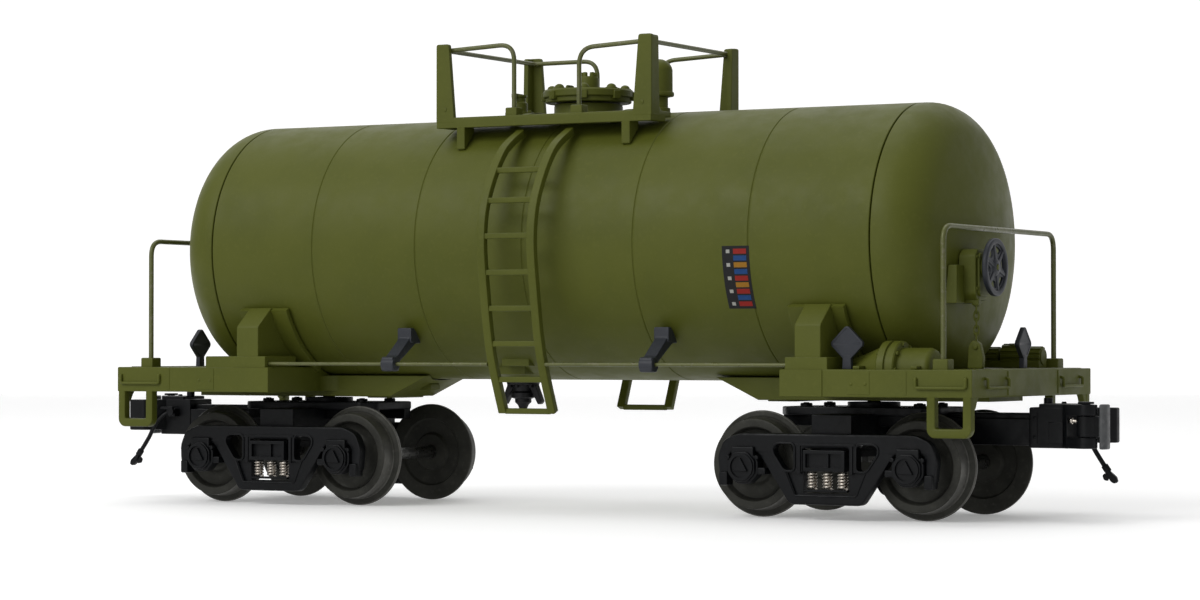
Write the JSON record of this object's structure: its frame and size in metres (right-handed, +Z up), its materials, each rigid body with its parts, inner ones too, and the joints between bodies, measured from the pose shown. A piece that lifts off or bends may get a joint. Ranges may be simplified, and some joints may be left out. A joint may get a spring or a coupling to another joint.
{
  "type": "model tank wagon",
  "caption": "O-scale model of a short tank wagon: dished tank on two end platforms, manway walkway, ladders, swivelling sprung-look trucks with couplers.",
  "frame": {"origin": "middle of the wagon at the underside of the wheel flanges", "axes": "+X along the wagon towards the hand-brake end, +Y across it to the far side, +Z up"},
  "size_m": [0.2372, 0.07, 0.099],
  "materials": {
    "tank_plastic": "satin olive green moulding",
    "fitting_plastic": "satin olive green moulding",
    "frame_plastic": "satin olive green moulding",
    "rail_wire": "olive green painted wire",
    "slate_plastic": "dark slate grey moulding",
    "black_plastic": "black moulding",
    "truck_casting": "die casting painted semi-gloss black",
    "wheel_metal": "blackened metal, tread polished by the rail",
    "axle_steel": "dark steel",
    "spring_steel": "bright wire",
    "knuckle_metal": "bare grey casting",
    "ballast_steel": "plain steel bar"
  },
  "bodies": {
    "wagon_body": {"tank_barrel": "tank_plastic", "tank_head_brake_end": "tank_plastic", "tank_head_plain_end": "tank_plastic", "ballast_weight": "ballast_steel", "manway_cover": "fitting_plastic", "relief_valve": "fitting_plastic", "walkway_frame": "fitting_plastic", "ladder_near": "fitting_plastic", "ladder_far": "fitting_plastic", "brake_reservoir": "fitting_plastic", "brake_control_valve": "fitting_plastic", "hand_brake_housing": "fitting_plastic", "underframe_brake_end": "frame_plastic", "underframe_plain_end": "frame_plastic", "walkway_rail_brake_end": "rail_wire", "walkway_rail_plain_end": "rail_wire", "end_handrail_brake_end": "rail_wire", "end_handrail_plain_end": "rail_wire", "side_handrail_near_brake_end": "rail_wire", "side_handrail_near_plain_end": "rail_wire", "side_handrail_far_brake_end": "rail_wire", "side_handrail_far_plain_end": "rail_wire", "rail_bracket_near_brake_end": "slate_plastic", "rail_bracket_near_plain_end": "slate_plastic", "rail_bracket_far_brake_end": "slate_plastic", "rail_bracket_far_plain_end": "slate_plastic", "placard_near_side": "slate_plastic", "placard_far_side": "slate_plastic", "placard_brake_end": "slate_plastic", "placard_plain_end": "slate_plastic", "outlet_valve": "black_plastic", "kingpin_brake_end": "axle_steel", "kingpin_plain_end": "axle_steel"},
    "truck_brake_end": {"truck_bolster_brake_end": "truck_casting", "coupler_brake_end": "truck_casting", "side_frame_near_brake_end": "truck_casting", "spring_nest_near_brake_end": "spring_steel", "side_frame_far_brake_end": "truck_casting", "spring_nest_far_brake_end": "spring_steel"},
    "wheelset_outer_brake_end": {"axle_outer_brake_end": "axle_steel", "wheel_outer_near_brake_end": "wheel_metal", "wheel_outer_far_brake_end": "wheel_metal"},
    "wheelset_inner_brake_end": {"axle_inner_brake_end": "axle_steel", "wheel_inner_near_brake_end": "wheel_metal", "wheel_inner_far_brake_end": "wheel_metal"},
    "knuckle_brake_end": {"coupler_knuckle_brake_end": "knuckle_metal"},
    "truck_plain_end": {"truck_bolster_plain_end": "truck_casting", "coupler_plain_end": "truck_casting", "side_frame_near_plain_end": "truck_casting", "spring_nest_near_plain_end": "spring_steel", "side_frame_far_plain_end": "truck_casting", "spring_nest_far_plain_end": "spring_steel"},
    "wheelset_outer_plain_end": {"axle_outer_plain_end": "axle_steel", "wheel_outer_near_plain_end": "wheel_metal", "wheel_outer_far_plain_end": "wheel_metal"},
    "wheelset_inner_plain_end": {"axle_inner_plain_end": "axle_steel", "wheel_inner_near_plain_end": "wheel_metal", "wheel_inner_far_plain_end": "wheel_metal"},
    "knuckle_plain_end": {"coupler_knuckle_plain_end": "knuckle_metal"},
    "brake_wheel": {"hand_brake_wheel": "slate_plastic"}
  },
  "joints": [
    {"name": "truck_swivel_brake_end", "type": "hinge", "parent": "wagon_body", "child": "truck_brake_end", "pos_m": [0.06705, 0, 0.0233], "axis": [0, 0, 1], "range_deg": [-20, 20]},
    {"name": "wheelset_spin_outer_brake_end", "type": "hinge", "parent": "truck_brake_end", "child": "wheelset_outer_brake_end", "pos_m": [0.08505, 0, 0.0108], "axis": [0, 1, 0], "continuous": true},
    {"name": "wheelset_spin_inner_brake_end", "type": "hinge", "parent": "truck_brake_end", "child": "wheelset_inner_brake_end", "pos_m": [0.04905, 0, 0.0108], "axis": [0, 1, 0], "continuous": true},
    {"name": "knuckle_opening_brake_end", "type": "hinge", "parent": "truck_brake_end", "child": "knuckle_brake_end", "pos_m": [0.11465, -0.0048, 0.0188], "axis": [0, 0, -1], "range_deg": [0, 45]},
    {"name": "truck_swivel_plain_end", "type": "hinge", "parent": "wagon_body", "child": "truck_plain_end", "pos_m": [-0.06705, 0, 0.0233], "axis": [0, 0, 1], "range_deg": [-20, 20]},
    {"name": "wheelset_spin_outer_plain_end", "type": "hinge", "parent": "truck_plain_end", "child": "wheelset_outer_plain_end", "pos_m": [-0.08505, 0, 0.0108], "axis": [0, 1, 0], "continuous": true},
    {"name": "wheelset_spin_inner_plain_end", "type": "hinge", "parent": "truck_plain_end", "child": "wheelset_inner_plain_end", "pos_m": [-0.04905, 0, 0.0108], "axis": [0, 1, 0], "continuous": true},
    {"name": "knuckle_opening_plain_end", "type": "hinge", "parent": "truck_plain_end", "child": "knuckle_plain_end", "pos_m": [-0.11465, 0.0048, 0.0188], "axis": [0, 0, -1], "range_deg": [0, 45]},
    {"name": "hand_brake_wheel_spin", "type": "hinge", "parent": "wagon_body", "child": "brake_wheel", "pos_m": [0.0976, -0.0097, 0.05015], "axis": [1, 0, 0], "continuous": true}
  ]
}
